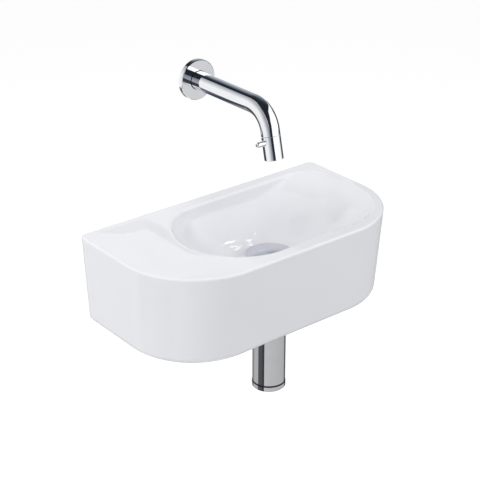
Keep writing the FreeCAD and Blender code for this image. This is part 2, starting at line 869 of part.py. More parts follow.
def make_tap():
    """Rosette, nipple and spout; local Z of the turned pieces points out of the wall."""
    where = {"x": d.tap_offset, "z": d.bolt_drop + d.tap_height, "lean": QUARTER_TURN}
    tube = d.tube_diameter / 2
    bore = d.tube_bore / 2
    rosette = d.rosette_diameter / 2
    hole = tube + FIT
    mouth = tube + d.rosette_joint
    wire = d.rosette_ring_wire / 2
    face_low = d.rosette_thickness - d.rosette_face
    ring_level = face_low + d.rosette_face / 2
    groove = hole + d.rosette_ring_wire
    turned("wall_rosette", (
        (mouth, d.rosette_thickness),
        (rosette - d.rosette_bevel, d.rosette_thickness),
        (rosette, d.rosette_thickness - d.rosette_bevel),
        (rosette, ZERO),
        (rosette - d.rosette_wall, ZERO),
        (rosette - d.rosette_wall, face_low),
        (hole, face_low),
        (hole, ring_level - wire - FIT),
        (groove, ring_level - wire - FIT),
        (groove, ring_level + wire + FIT),
        (mouth, ring_level + wire + FIT),
    ), **where)
    seal_place = dict(where)
    seal_place["y"] = -ring_level
    ring("rosette_ring", tube + wire + FIT / 2, wire, **seal_place)

    spout = new_body("spout")
    path = new_sketch(spout, "spout_path", "YZ_Plane")
    spout_path(path)
    for name, radius, kind in (
        ("spout_tube", tube, "PartDesign::AdditivePipe"),
        ("spout_bore", bore, "PartDesign::SubtractivePipe"),
    ):
        section = new_sketch(spout, f"{name}_section", "XZ_Plane")
        circle(section, ZERO, ZERO, radius)
        pipe = spout.newObject(kind, name)
        pipe.Profile = section
        pipe.Spine = (path, ["Edge1", "Edge2", "Edge3"])
    place(spout, x=d.tap_offset, z=d.bolt_drop + d.tap_height)
    keep(spout, "spout")

    shoulder_top = -d.nipple_washer_thickness
    shoulder_low = shoulder_top - d.inlet_shoulder
    inlet = d.inlet_diameter / 2
    thread_top = shoulder_low - d.inlet_relief
    inlet_low = thread_top - d.inlet_length
    nipple = new_body("inlet_nipple")
    revolve(nipple, "nipple_turn", (
        (d.inlet_bore / 2, inlet_low),
        (inlet, inlet_low),
        (inlet, thread_top),
        (d.inlet_relief_diameter / 2, thread_top),
        (d.inlet_relief_diameter / 2, shoulder_low),
        (d.inlet_shoulder_diameter / 2, shoulder_low),
        (d.inlet_shoulder_diameter / 2, shoulder_top),
        (bore - FIT, shoulder_top),
        (bore - FIT, d.inlet_spigot),
        (d.inlet_bore / 2, d.inlet_spigot),
    ))
    socket = new_sketch(nipple, "hex_socket", "XY_Plane", inlet_low)
    hexagon(socket, d.hex_key)
    extrude(nipple, "hex_socket_cut", socket, d.hex_key_depth, "PartDesign::Pocket", reverse=True)
    place(nipple, **where)
    keep(nipple, "inlet_nipple")
    washer("nipple_washer", bore, tube, shoulder_top, ZERO, **where)


def spout_path(sketch):
    """Straight run out of the wall, bend, and short straight end, in Y and Z."""
    run = d.spout_run
    bend = d.bend_radius
    angle = d.bend_angle
    end_y = -run - bend * sine(angle)
    end_z = bend * cosine(angle) - bend
    tip_y = end_y - d.spout_end * cosine(angle)
    tip_z = end_z - d.spout_end * sine(angle)
    start = Vector(0, 0, 0)
    bend_start = Vector(-run.number, 0, 0)
    bend_end = Vector(end_y.number, end_z.number, 0)
    tip = Vector(tip_y.number, tip_z.number, 0)
    hub = round_about(-run, -bend, bend)
    quarter = math.radians(TURN / 4)
    sketch.addGeometry(Part.LineSegment(start, bend_start), False)
    sketch.addGeometry(Part.ArcOfCircle(hub, quarter, quarter + math.radians(angle.number)), False)
    sketch.addGeometry(Part.LineSegment(bend_end, tip), False)
    sketch.addConstraint(Sketcher.Constraint("Coincident", 0, 2, 1, 1))
    sketch.addConstraint(Sketcher.Constraint("Coincident", 1, 2, 2, 1))
    fix_point(sketch, 0, 1, ZERO, ZERO)
    fix_point(sketch, 0, 2, -run, ZERO)
    fix_point(sketch, 1, 3, -run, -bend)
    limit(sketch, "DistanceY", end_z, -1, 1, 1, 2)
    fix_point(sketch, 2, 2, tip_y, tip_z)


def make_nozzle():
    """Quarter-turn valve in the spout's end; local zero is the seam, local -Z the way of the water."""
    angle = d.bend_angle
    fall = d.bend_radius - d.bend_radius * cosine(angle) + d.spout_end * sine(angle)
    where = {
        "x": d.tap_offset,
        "y": -d.spout_run - d.bend_radius * sine(angle) - d.spout_end * cosine(angle),
        "z": d.bolt_drop + d.tap_height - fall,
        "lean": angle - QUARTER_TURN,
    }

    def along(rise):
        """The same place, moved up the nozzle's axis."""
        moved = dict(where)
        moved["y"] = where["y"] + rise * cosine(angle)
        moved["z"] = where["z"] + rise * sine(angle)
        return moved

    bore = d.tube_bore / 2
    tube = d.tube_diameter / 2
    core = bore - d.running_gap
    wire = d.ring_wire / 2
    groove = bore - d.ring_wire - FIT
    clip = d.retaining_wire_diameter / 2
    disc = d.disc_diameter / 2
    pocket = disc + FIT
    valve_low = -d.valve_length
    disc_roof = valve_low + d.disc_thickness + d.disc_seal_thickness
    ring_half = wire + FIT
    clip_half = clip + FIT
    rise = d.body_ring_rise
    drop = -d.collar_ring_drop
    clip_drop = -d.retaining_wire_drop
    turned("valve_body", (
        (d.valve_bore / 2, d.valve_spigot),
        (core, d.valve_spigot),
        (core, rise + ring_half),
        (groove, rise + ring_half),
        (groove, rise - ring_half),
        (core, rise - ring_half),
        (core, drop + ring_half),
        (groove, drop + ring_half),
        (groove, drop - ring_half),
        (core, drop - ring_half),
        (core, clip_drop + clip_half),
        (bore - clip_half, clip_drop + clip_half),
        (bore - clip_half, clip_drop - clip_half),
        (core, clip_drop - clip_half),
        (core, valve_low),
        (pocket, valve_low),
        (pocket, disc_roof),
        (d.valve_bore / 2, disc_roof),
    ), **where)
    seal_radius = bore - wire - FIT / 2
    ring("body_ring", seal_radius, wire, **along(rise))
    ring("collar_ring", seal_radius, wire, **along(drop))
    ring("retaining_wire", bore, clip, **along(clip_drop))
    washer("disc_seal", d.valve_bore / 2, disc, valve_low + d.disc_thickness, disc_roof, **where)
    make_disc("fixed_disc", valve_low, where, crosswise=True)
    turning_top = valve_low - d.running_gap
    turning_low = turning_top - d.disc_thickness
    make_disc("turning_disc", turning_low, where, crosswise=False)

    carrier_low = turning_top - d.carrier_length
    turned("disc_carrier", (
        (pocket, turning_top),
        (bore - FIT, turning_top),
        (bore - FIT, carrier_low),
        (d.carrier_bore / 2, carrier_low),
        (d.carrier_bore / 2, turning_low),
        (pocket, turning_low),
    ), **where)

    # Turning collar with the lever's hole
    collar_low = -d.nozzle_length
    thread = d.aerator_thread / 2
    step = -d.aerator_drop
    collar = new_body("nozzle_collar")
    revolve(collar, "collar_turn", (
        (bore, -d.nozzle_seam),
        (tube - d.edge_break, -d.nozzle_seam),
        (tube, -d.nozzle_seam - d.edge_break),
        (tube, collar_low + d.edge_break),
        (tube - d.edge_break, collar_low),
        (thread, collar_low),
        (thread, step),
        (bore, step),
        (bore, clip_drop - clip_half),
        (bore + clip_half, clip_drop - clip_half),
        (bore + clip_half, clip_drop + clip_half),
        (bore, clip_drop + clip_half),
    ))
    tenon = d.lever_tenon / 2
    hole = new_sketch(collar, "lever_hole", "YZ_Plane")
    circle(hole, ZERO, -d.lever_drop, tenon + FIT)
    extrude(collar, "lever_hole_cut", hole, tube + d.cut_overrun, "PartDesign::Pocket")
    place(collar, **where)
    keep(collar, "nozzle_collar")

    # Lever pin, saddled on the collar, pointing to the left
    pin = new_body("lever_pin_blank")
    stem = new_sketch(pin, "lever_stem", "YZ_Plane")
    circle(stem, ZERO, -d.lever_drop, d.lever_diameter / 2)
    extrude(pin, "lever_stem_pad", stem, tube + d.lever_reach, reverse=True)
    end_level = -tube - d.lever_reach
    round_edges(
        pin, "lever_end", "PartDesign::Fillet", d.lever_rounding,
        lambda edge: edge.BoundBox.XMax < end_level.number + FIT.number)
    saddle = doc.addObject("Part::Cylinder", "lever_saddle")
    bind(saddle, "Radius", tube)
    bind(saddle, "Height", d.nozzle_length)
    place(saddle, z=-d.nozzle_length)
    head = doc.addObject("Part::Cut", "lever_head")
    head.Base = pin
    head.Tool = saddle
    peg = doc.addObject("Part::Cylinder", "lever_peg")
    bind(peg, "Radius", tenon)
    bind(peg, "Height", tube - bore + d.lever_reach / 2)
    peg.Placement = Placement(Vector(0, 0, 0), Rotation(Vector(0, 1, 0), -TURN / 4))
    bind(peg, "Placement.Base.x", -bore - FIT)
    bind(peg, "Placement.Base.z", -d.lever_drop)
    lever = doc.addObject("Part::Fuse", "lever_pin")
    lever.Base = head
    lever.Tool = peg
    place(lever, **where)
    keep(lever, "lever_pin")

    # Aerator, screwed up inside the collar against its seal
    seal_low = step - d.aerator_seal_thickness
    shell = thread - FIT
    shell_low = collar_low + d.aerator_recess
    shell_bore = shell - d.aerator_wall
    washer("aerator_seal", d.carrier_bore / 2, shell, seal_low, step, **where)
    turned("aerator_housing", (
        (shell_bore, seal_low),
        (shell, seal_low),
        (shell, shell_low),
        (shell_bore - d.aerator_lip, shell_low),
        (shell_bore - d.aerator_lip, shell_low + d.aerator_lip),
        (shell_bore, shell_low + d.aerator_lip),
    ), **where)
    insert = new_body("aerator_insert")
    plate = new_sketch(insert, "insert_plate", "XY_Plane", shell_low + d.aerator_lip)
    circle(plate, ZERO, ZERO, shell_bore - FIT)
    thickness = seal_low - shell_low - d.aerator_lip
    extrude(insert, "insert_pad", plate, thickness)
    jet = new_sketch(insert, "insert_jet", "XY_Plane", seal_low)
    circle(jet, d.aerator_row, ZERO, d.aerator_jet / 2)
    cut = extrude(insert, "insert_jet_cut", jet, thickness + d.cut_overrun, "PartDesign::Pocket")
    repeat(insert, "insert_jets", cut, AERATOR_JETS)
    place(insert, **where)
    keep(insert, "aerator_insert")


def make_disc(label, low, where, crosswise):
    """A ceramic disc with two ports opposite each other, lying along X or crosswise along Y."""
    body = new_body(label)
    blank = new_sketch(body, f"{label}_blank", "XY_Plane", low)
    circle(blank, ZERO, ZERO, d.disc_diameter / 2)
    extrude(body, f"{label}_pad", blank, d.disc_thickness)
    port = new_sketch(body, f"{label}_port", "XY_Plane", low + d.disc_thickness)
    half = d.port_angle / 2
    far = d.port_outer * cosine(half)
    wide = d.port_outer * sine(half)
    corners = ((d.port_inner, ZERO), (far, -wide), (d.port_outer, ZERO), (far, wide))
    outline(port, [(across, out) if crosswise else (out, across) for out, across in corners])
    cut = extrude(body, f"{label}_port_cut", port, d.disc_thickness + d.cut_overrun, "PartDesign::Pocket")
    repeat(body, f"{label}_ports", cut, DISC_PORTS)
    place(body, **where)
    return keep(body, label)


make_basin()
make_wall_fixing()
make_waste()
make_tap()
make_nozzle()
doc.recompute()

for item in doc.Objects:
    if {"Invalid", "Error"} & set(item.State):
        raise RuntimeError(f"{item.Label} failed: {item.State}")
for item in subparts:
    if item.Shape.isNull() or not item.Shape.isValid():
        raise RuntimeError(f"{item.Label} has no valid shape")
for item in subparts:
    item.Shape.exportStep(f"parts/{item.Label}.step")
    print(f"{item.Label}: {len(item.Shape.Solids)} solid(s), {item.Shape.Volume:.1f} mm3")
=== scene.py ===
import json
import math

import bmesh
import bpy
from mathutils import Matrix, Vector
from mathutils.bvhtree import BVHTree
from mathutils.interpolate import poly_3d_calc


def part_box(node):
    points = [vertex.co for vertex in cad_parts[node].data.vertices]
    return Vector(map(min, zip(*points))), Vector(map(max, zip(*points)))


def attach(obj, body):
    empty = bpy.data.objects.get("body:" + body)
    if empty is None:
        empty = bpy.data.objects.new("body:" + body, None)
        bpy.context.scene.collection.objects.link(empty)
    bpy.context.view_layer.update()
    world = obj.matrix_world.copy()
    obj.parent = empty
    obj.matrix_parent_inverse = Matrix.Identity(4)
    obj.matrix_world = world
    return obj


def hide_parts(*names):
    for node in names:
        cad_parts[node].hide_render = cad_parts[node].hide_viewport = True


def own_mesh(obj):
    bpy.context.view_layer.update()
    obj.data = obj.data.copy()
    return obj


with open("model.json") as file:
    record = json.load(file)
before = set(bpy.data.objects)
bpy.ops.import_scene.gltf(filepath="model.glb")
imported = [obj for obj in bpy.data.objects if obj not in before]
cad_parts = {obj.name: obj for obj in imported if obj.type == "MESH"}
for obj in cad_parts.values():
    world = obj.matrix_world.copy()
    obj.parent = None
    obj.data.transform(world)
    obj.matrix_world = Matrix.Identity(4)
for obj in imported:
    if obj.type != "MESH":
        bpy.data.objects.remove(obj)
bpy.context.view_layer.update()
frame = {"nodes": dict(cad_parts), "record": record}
nodes = frame["nodes"]

# Viewpoint: where the camera stands and what it looks at, in metres, with lens and sensor in millimetres.
CAMERA_PLACE = Vector((-0.90608, -1.20156, 0.74953))
CAMERA_TARGET = Vector((-0.01977, -0.1, 0.06108))
CAMERA_TURN = (CAMERA_TARGET - CAMERA_PLACE).to_track_quat("-Z", "Y")
CAMERA_LENS = 99.88
CAMERA_SENSOR = 36.0
PICTURE_SIZE = 480

# The room: a hand basin's rim is 0.85 m above the floor.
FLOOR_LEVEL = -0.772
FLOOR_REACH = 9.0
FLOOR_COLOUR = (0.8, 0.8, 0.8, 1.0)
FLOOR_ROUGHNESS = 0.9
FLOOR_GLOW = 0.5
ROOM_REACH = 50.0
ROOM_LIGHT = 0.55
WHITE = (1.0, 1.0, 1.0, 1.0)

# Lamps: where each stands, what it is aimed at, its width and height in metres, and its watts.
LAMPS = {
    "top_softbox": ((-0.45, -0.1, 1.6), (0.0, -0.1, 0.0), 1.2, 1.2, 10.8),
    "left_softbox": ((-1.6, 0.1, 0.0), (-0.18, -0.1, 0.02), 1.0, 0.5, 7.2),
    "front_fill": ((0.3, -1.75, 0.4), (0.0, -0.19, 0.02), 1.5, 0.5, 4.9),
    "window_light": ((1.3, -0.8, 0.9), (0.0, -0.1, 0.05), 0.9, 0.9, 3.6),
}

# Threads, in metres: the hanger bolts' two ends, the tap's inlet and the waste body.
NUT_THREAD = {"Radius": 0.00375, "Pitch": 0.00125, "Turns": 22.0, "Depth": 0.0007, "Root": 0.0002}
WALL_THREAD = {"Radius": 0.004, "Pitch": 0.0034, "Turns": 13.6, "Depth": 0.0009, "Root": 0.0018}
INLET_THREAD = {"Radius": 0.010475, "Pitch": 0.001814, "Turns": 6.0, "Depth": 0.001, "Root": 0.0003}
WASTE_THREAD = {"Radius": 0.02095, "Pitch": 0.002309, "Turns": 12.0, "Depth": 0.0012, "Root": 0.0004}
WALL_THREAD_START = 0.012
WASTE_THREAD_END = -0.028
THREAD_STEPS = 24

# The thread cutter's middle and height as shares of the depth, and its mouth as a share of the pitch.
CUTTER_MIDDLE_SHARE = 0.4
CUTTER_HEIGHT_SHARE = 1.2
CUTTER_MOUTH_SHARE = 0.92

# Copies of solids: how near two points count as one, and the angle from which an edge stays sharp.
MERGE_REACH = 1e-7
SHARP_ANGLE = math.radians(32)

# Where the glaze stops short of the wall, in metres, and the painted shade on the outlet nut's top edge
# (its depth in metres and its colour), which stands for the shadowed gap under the tail.
GLAZE_END = -0.0006
NUT_EDGE_SHADE_DEPTH = 0.0006
NUT_EDGE_PAINTED_SHADE = (0.02, 0.02, 0.022)

# Places on the part that the cards are set out from, in metres.
BASIN_DRAIN = Vector((0.03142, -0.094655, 0.013))
SHELF_FOLD = Vector((-0.11, -0.03, 0.076))
ROSETTE_FACE = Vector((-0.007, -0.006, 0.2315))
ROSETTE_CORNER = Vector((-0.018, -0.006, 0.2315))

# The spout's own sizes: its straight run, the bend's radius and degrees, and the straight end.
SPOUT_RADIUS = 0.011
SPOUT_RUN = 0.1085
SPOUT_BEND = 0.03
SPOUT_TURN = 77
SPOUT_ANGLE = math.radians(SPOUT_TURN)
SPOUT_END = 0.034
SPOUT_TIP = SPOUT_RUN + SPOUT_BEND * SPOUT_ANGLE + SPOUT_END

# How far the cards stand from what shows them, in metres, and how much further a spout's cloth is seen.
CLOTH_REACH = 0.3
CLOTH_SLACK = 0.13
EDGE_CLOTH_REACH = 0.55
CORNER_CLOTH_REACH = 0.6
FOLD_CARD_REACH = 0.62
ROSETTE_CARD_REACH = 1.5
ROSETTE_CARD_HALF_WIDTH = 0.16
ROSETTE_CARD_HALF_HEIGHT = 0.13
BACK_CARD_Y = 0.4
RIGHT_CARD_X = 0.3
TABLE_LEVEL = -0.45
TABLE_RINGS = (0.1, 0.75)

# A dark card is cooler: how fast that fades towards white, and how much red and green it loses.
COOL_FADE = 1.5
COOL_RED_LOSS = 0.38
COOL_GREEN_LOSS = 0.24

# The bright window, in degrees round from +X by the front and above the horizon, and its reach in metres.
WINDOW_MIDDLE = 48
WINDOW_HALF_WIDTH = 68
WINDOW_WIDTH_STEP = 9
WINDOW_LOW = 4
WINDOW_HEIGHT = 60
WINDOW_HEIGHT_STEP = 6
WINDOW_FADE = 1.3
WINDOW_REACH = 1.6
WINDOW_GLOW = 1.3

# Lights mirrored in the bowl: where each starts and ends in the picture and how wide it is, in pixels.
GLINTS = (
    ("far_glint", (224.5, 243.5), (235.0, 241.5), 2.0),
    ("near_glint", (229.0, 247.2), (243.5, 245.6), 1.0),
    ("side_glint", (249.0, 245.0), (252.5, 245.0), 1.5),
)
GLINT_STEPS = 8
GLINT_REACH = 0.9
GLINT_GLOW = 10.0


# Scene and node helpers

def put(name, data):
    """A new object in the scene for a mesh, a lamp or a camera."""
    made = bpy.data.objects.new(name, data)
    bpy.context.scene.collection.objects.link(made)
    return made


def new_material(name):
    """A material with a Principled shader."""
    material = bpy.data.materials.new(name)
    material.use_nodes = True
    tree = material.node_tree
    return material, tree, tree.nodes["Principled BSDF"]


def feed(tree, socket, value):
    """Gives a socket another node's output, or a plain value."""
    if isinstance(value, bpy.types.NodeSocket):
        tree.links.new(value, socket)
    else:
        socket.default_value = value


def own_place(tree):
    """The piece's own coordinates."""
    return tree.nodes.new("ShaderNodeTexCoord").outputs["Object"]


def own_axis(tree, axis):
    """One of the piece's own coordinates."""
    split = tree.nodes.new("ShaderNodeSeparateXYZ")
    tree.links.new(own_place(tree), split.inputs["Vector"])
    return split.outputs[axis]


def noise(tree, scale, detail=2.0, rough=0.5):
    """Noise at so many features to the metre."""
    node = tree.nodes.new("ShaderNodeTexNoise")
    node.inputs["Scale"].default_value = scale
    node.inputs["Detail"].default_value = detail
    node.inputs["Roughness"].default_value = rough
    tree.links.new(own_place(tree), node.inputs["Vector"])
    return node.outputs["Fac"]


def spread(tree, value, low=0.0, high=1.0, start=0.3, end=0.7):
    """Maps a noise value onto a range."""
    node = tree.nodes.new("ShaderNodeMapRange")
    node.inputs["From Min"].default_value = start
    node.inputs["From Max"].default_value = end
    node.inputs["To Min"].default_value = low
    node.inputs["To Max"].default_value = high
    tree.links.new(value, node.inputs["Value"])
    return node.outputs["Result"]


def mix_colours(tree, factor, first, second):
    """Mixes two colours, each a triple or another node's output."""
    node = tree.nodes.new("ShaderNodeMix")
    node.data_type = "RGBA"
    tree.links.new(factor, node.inputs["Factor"])
    for socket, colour in ((node.inputs[6], first), (node.inputs[7], second)):
        feed(tree, socket, (*colour, 1.0) if isinstance(colour, tuple) else colour)
    return node.outputs[2]


def mix_values(tree, factor, first, second):
    """Mixes two numbers, each a plain one or another node's output."""
    node = tree.nodes.new("ShaderNodeMix")
    tree.links.new(factor, node.inputs["Factor"])
    feed(tree, node.inputs["A"], first)
    feed(tree, node.inputs["B"], second)
    return node.outputs["Result"]


def calculate(tree, operation, first, second):
    """A sum on two numbers, each a plain one or another node's output."""
    node = tree.nodes.new("ShaderNodeMath")
    node.operation = operation
    feed(tree, node.inputs[0], first)
    feed(tree, node.inputs[1], second)
    return node.outputs["Value"]


def bump(tree, shader, height, distance, strength):
    """Relief on a surface, so many metres deep."""
    node = tree.nodes.new("ShaderNodeBump")
    node.inputs["Distance"].default_value = distance
    node.inputs["Strength"].default_value = strength
    tree.links.new(height, node.inputs["Height"])
    tree.links.new(node.outputs["Normal"], shader.inputs["Normal"])


# Finishes

def sanitary_glaze():
    """White glaze with a slow ripple, on a body left bare where it meets the wall."""
    material, tree, shader = new_material("sanitary_glaze")
    bare = calculate(tree, "GREATER_THAN", own_axis(tree, "Y"), GLAZE_END)
    cloud = spread(tree, noise(tree, 14.0, 3.0))
    glazed = mix_colours(tree, cloud, (0.85, 0.857, 0.893), (0.865, 0.872, 0.906))
    grain = noise(tree, 900.0, 4.0, 0.7)
    bisque = mix_colours(tree, spread(tree, grain), (0.68, 0.64, 0.58), (0.78, 0.75, 0.69))
    tree.links.new(mix_colours(tree, bare, glazed, bisque), shader.inputs["Base Color"])
    gloss = spread(tree, noise(tree, 45.0), 0.034, 0.042)
    tree.links.new(mix_values(tree, bare, gloss, 0.75), shader.inputs["Roughness"])
    ripple = noise(tree, 28.0, 1.0)
    bump(tree, shader, mix_values(tree, bare, ripple, grain), 0.00012, 0.25)
    return material


def polished_chrome(name, painted_shade_height=None):
    """Bright chrome, with painted shade above a given height where one is given."""
    material, tree, shader = new_material(name)
    shader.inputs["Metallic"].default_value = 1.0
    cloud = spread(tree, noise(tree, 55.0, 3.0))
    tint = mix_colours(tree, cloud, (0.86, 0.87, 0.89), (0.9, 0.905, 0.915))
    if painted_shade_height is not None:
        # Painted shade: above this height the chrome turns near black, as a shadowed gap would look.
        above = calculate(tree, "GREATER_THAN", own_axis(tree, "Z"), painted_shade_height)
        tint = mix_colours(tree, above, tint, NUT_EDGE_PAINTED_SHADE)
    tree.links.new(tint, shader.inputs["Base Color"])
    tree.links.new(spread(tree, noise(tree, 160.0, 4.0), 0.02, 0.05), shader.inputs["Roughness"])
    return material


def satin_chrome():
    """Softer chrome for the plug's cap."""
    material, tree, shader = new_material("satin_chrome")
    shader.inputs["Metallic"].default_value = 1.0
    cloud = spread(tree, noise(tree, 70.0, 3.0))
    tint = mix_colours(tree, cloud, (0.7, 0.72, 0.765), (0.75, 0.765, 0.8))
    tree.links.new(tint, shader.inputs["Base Color"])
    tree.links.new(spread(tree, noise(tree, 220.0, 4.0), 0.18, 0.25), shader.inputs["Roughness"])
    return material


def plain_finish(name, dark, light, rough, metal=0.0, scale=120.0):
    """A finish with a fine mottle in its colour, gloss and surface."""
    material, tree, shader = new_material(name)
    shader.inputs["Metallic"].default_value = metal
    mottle = spread(tree, noise(tree, scale, 4.0, 0.6))
    tree.links.new(mix_colours(tree, mottle, dark, light), shader.inputs["Base Color"])
    fine = noise(tree, scale * 6.0, 3.0)
    tree.links.new(spread(tree, fine, rough - 0.06, rough + 0.06), shader.inputs["Roughness"])
    bump(tree, shader, fine, 0.00005, 0.5)
    return material


FINISHES = {
    "glaze": sanitary_glaze(),
    "chrome": polished_chrome("polished_chrome"),
    "satin_chrome": satin_chrome(),
    "brass": plain_finish("turned_brass", (0.66, 0.47, 0.2), (0.78, 0.58, 0.29), 0.26, 1.0),
    "black_rubber": plain_finish(
        "black_rubber", (0.012, 0.012, 0.013), (0.03, 0.03, 0.032), 0.62, scale=300.0,
    ),
    "red_fibre": plain_finish("red_fibre", (0.36, 0.06, 0.04), (0.5, 0.12, 0.08), 0.7, scale=500.0),
    "zinc_steel": plain_finish("zinc_steel", (0.55, 0.57, 0.6), (0.7, 0.71, 0.72), 0.28, 1.0),
    "spring_steel": plain_finish("spring_steel", (0.45, 0.46, 0.48), (0.6, 0.61, 0.62), 0.22, 1.0),
    "disc_ceramic": plain_finish(
        "lapped_ceramic", (0.84, 0.81, 0.76), (0.92, 0.9, 0.86), 0.16, scale=400.0,
    ),
    "white_nylon": plain_finish("white_nylon", (0.74, 0.74, 0.71), (0.84, 0.84, 0.82), 0.42),
    "grey_acetal": plain_finish("grey_acetal", (0.3, 0.31, 0.33), (0.4, 0.41, 0.43), 0.38),
}


def dress_nodes():
    """Gives every solid the finish of its slot, the valve body a dark plating that also stands as painted
    shade in the spout's seam, and the outlet nut a painted shade line on its top edge.
    """
    nut_top = max(vertex.co.z for vertex in nodes["outlet_nut"].data.vertices)
    special = {
        # The valve body is plated metal, darkened so that the spout's seam shows as a painted shade line.
        "valve_body": plain_finish("plated_brass_painted_seam_shade", (0.2, 0.2, 0.21), (0.3, 0.3, 0.31), 0.3, 1.0),
        # Painted shade: the outlet nut's top edge is painted near black, as the shadowed gap under the
        # tail.
        "outlet_nut": polished_chrome("chrome_with_painted_edge_shade", nut_top - NUT_EDGE_SHADE_DEPTH),
    }
    for entry in frame["record"]["subparts"]:
        mesh = nodes[entry["node"]].data
        mesh.materials.clear()
        mesh.materials.append(special.get(entry["node"], FINISHES[entry["material_slot"]]))


dress_nodes()


# Cut threads

def thread_tree():
    """Cuts a helical groove into a blank, or the same groove into a row of blanks."""
    tree = bpy.data.node_groups.new("cut_thread", "GeometryNodeTree")
    labels = {"Blank": "Geometry", "Start": "Vector", "Turned": "Vector", "Apart": "Vector", "Count": "Int",
              "Radius": "Float", "Pitch": "Float", "Turns": "Float", "Depth": "Float", "Root": "Float",
              "Finish": "Material"}
    for label, kind in labels.items():
        tree.interface.new_socket(label, in_out="INPUT", socket_type="NodeSocket" + kind)
    tree.interface.new_socket("Threaded", in_out="OUTPUT", socket_type="NodeSocketGeometry")
    sizes = tree.nodes.new("NodeGroupInput").outputs

    def step(kind, **inputs):
        node = tree.nodes.new("GeometryNode" + kind)
        for label, value in inputs.items():
            feed(tree, node.inputs[label.replace("_", " ")], value)
        return node

    def times(size, factor):
        return calculate(tree, "MULTIPLY", sizes[size], factor)

    # The cutter reaches from the root of the thread to a little outside the blank.
    middle = calculate(tree, "SUBTRACT", sizes["Radius"], times("Depth", CUTTER_MIDDLE_SHARE))
    helix = step(
        "CurveSpiral", Resolution=THREAD_STEPS, Rotations=sizes["Turns"], Start_Radius=middle,
        End_Radius=middle, Height=times("Pitch", sizes["Turns"]),
    )
    upright = step("SetCurveNormal", Curve=helix.outputs[0])
    upright.mode = "Z_UP"
    tooth = tree.nodes.new("GeometryNodeCurvePrimitiveQuadrilateral")
    tooth.mode = "TRAPEZOID"
    tooth.inputs["Offset"].default_value = 0.0
    tree.links.new(sizes["Root"], tooth.inputs["Top Width"])
    tree.links.new(times("Pitch", CUTTER_MOUTH_SHARE), tooth.inputs["Bottom Width"])
    tree.links.new(times("Depth", CUTTER_HEIGHT_SHARE), tooth.inputs["Height"])
    inward = step("Transform", Geometry=tooth.outputs[0], Rotation=(0.0, 0.0, -math.pi / 2))
    cutter = step("CurveToMesh", Curve=upright.outputs[0], Profile_Curve=inward.outputs[0], Fill_Caps=True)
    aimed = step("Transform", Geometry=cutter.outputs[0], Rotation=sizes["Turned"])
    places = step("MeshLine", Count=sizes["Count"], Start_Location=sizes["Start"], Offset=sizes["Apart"])
    row = step("InstanceOnPoints", Points=places.outputs[0], Instance=aimed.outputs[0])
    cut = tree.nodes.new("GeometryNodeMeshBoolean")
    cut.operation = "DIFFERENCE"
    cut.solver = "EXACT"
    tree.links.new(sizes["Blank"], cut.inputs["Mesh 1"])
    tree.links.new(row.outputs[0], cut.inputs["Mesh 2"])
    solid = step("RealizeInstances", Geometry=cut.outputs[0])
    dressed = step("SetMaterial", Geometry=solid.outputs[0], Material=sizes["Finish"])
    tree.links.new(dressed.outputs[0], tree.nodes.new("NodeGroupOutput").inputs[0])
    return tree


def merged_copy(node, name):
    """A copy of a solid's mesh with its loose triangles joined."""
    shell = bmesh.new()
    shell.from_mesh(nodes[node].data)
    bmesh.ops.remove_doubles(shell, verts=shell.verts, dist=MERGE_REACH)
    mesh = bpy.data.meshes.new(name)
    shell.to_mesh(mesh)
    shell.free()
    for layer in [layer for layer in mesh.attributes if layer.name == "custom_normal"]:
        mesh.attributes.remove(layer)
    return put(name, mesh)


def slot_of(node):
    """The material slot that the record gives a solid."""
    return next(entry["material_slot"] for entry in frame["record"]["subparts"] if entry["node"] == node)


def stand_in(piece, node):
    """Puts a finished piece in the place of a solid that is fixed to the basin."""
    piece.data.name = piece.name
    piece.data.shade_smooth()
    piece.data.set_sharp_from_angle(angle=SHARP_ANGLE)
    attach(piece, "basin_and_fittings")
    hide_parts(node)


def cut_threads(node, name, *threads):
    """Replaces a solid by its copy with threads cut in it."""
    piece = merged_copy(node, name)
    for thread in threads:
        modifier = piece.modifiers.new("thread", "NODES")
        modifier.node_group = CUT_THREAD
        for socket in CUT_THREAD.interface.items_tree:
            if socket.in_out == "INPUT" and socket.name in thread:
                modifier[socket.identifier] = thread[socket.name]
            elif socket.name == "Finish":
                modifier[socket.identifier] = FINISHES[slot_of(node)]
    bpy.context.view_layer.update()
    mesh = bpy.data.meshes.new_from_object(piece.evaluated_get(bpy.context.evaluated_depsgraph_get()))
    piece.modifiers.clear()
    piece.data = mesh
    stand_in(piece, node)


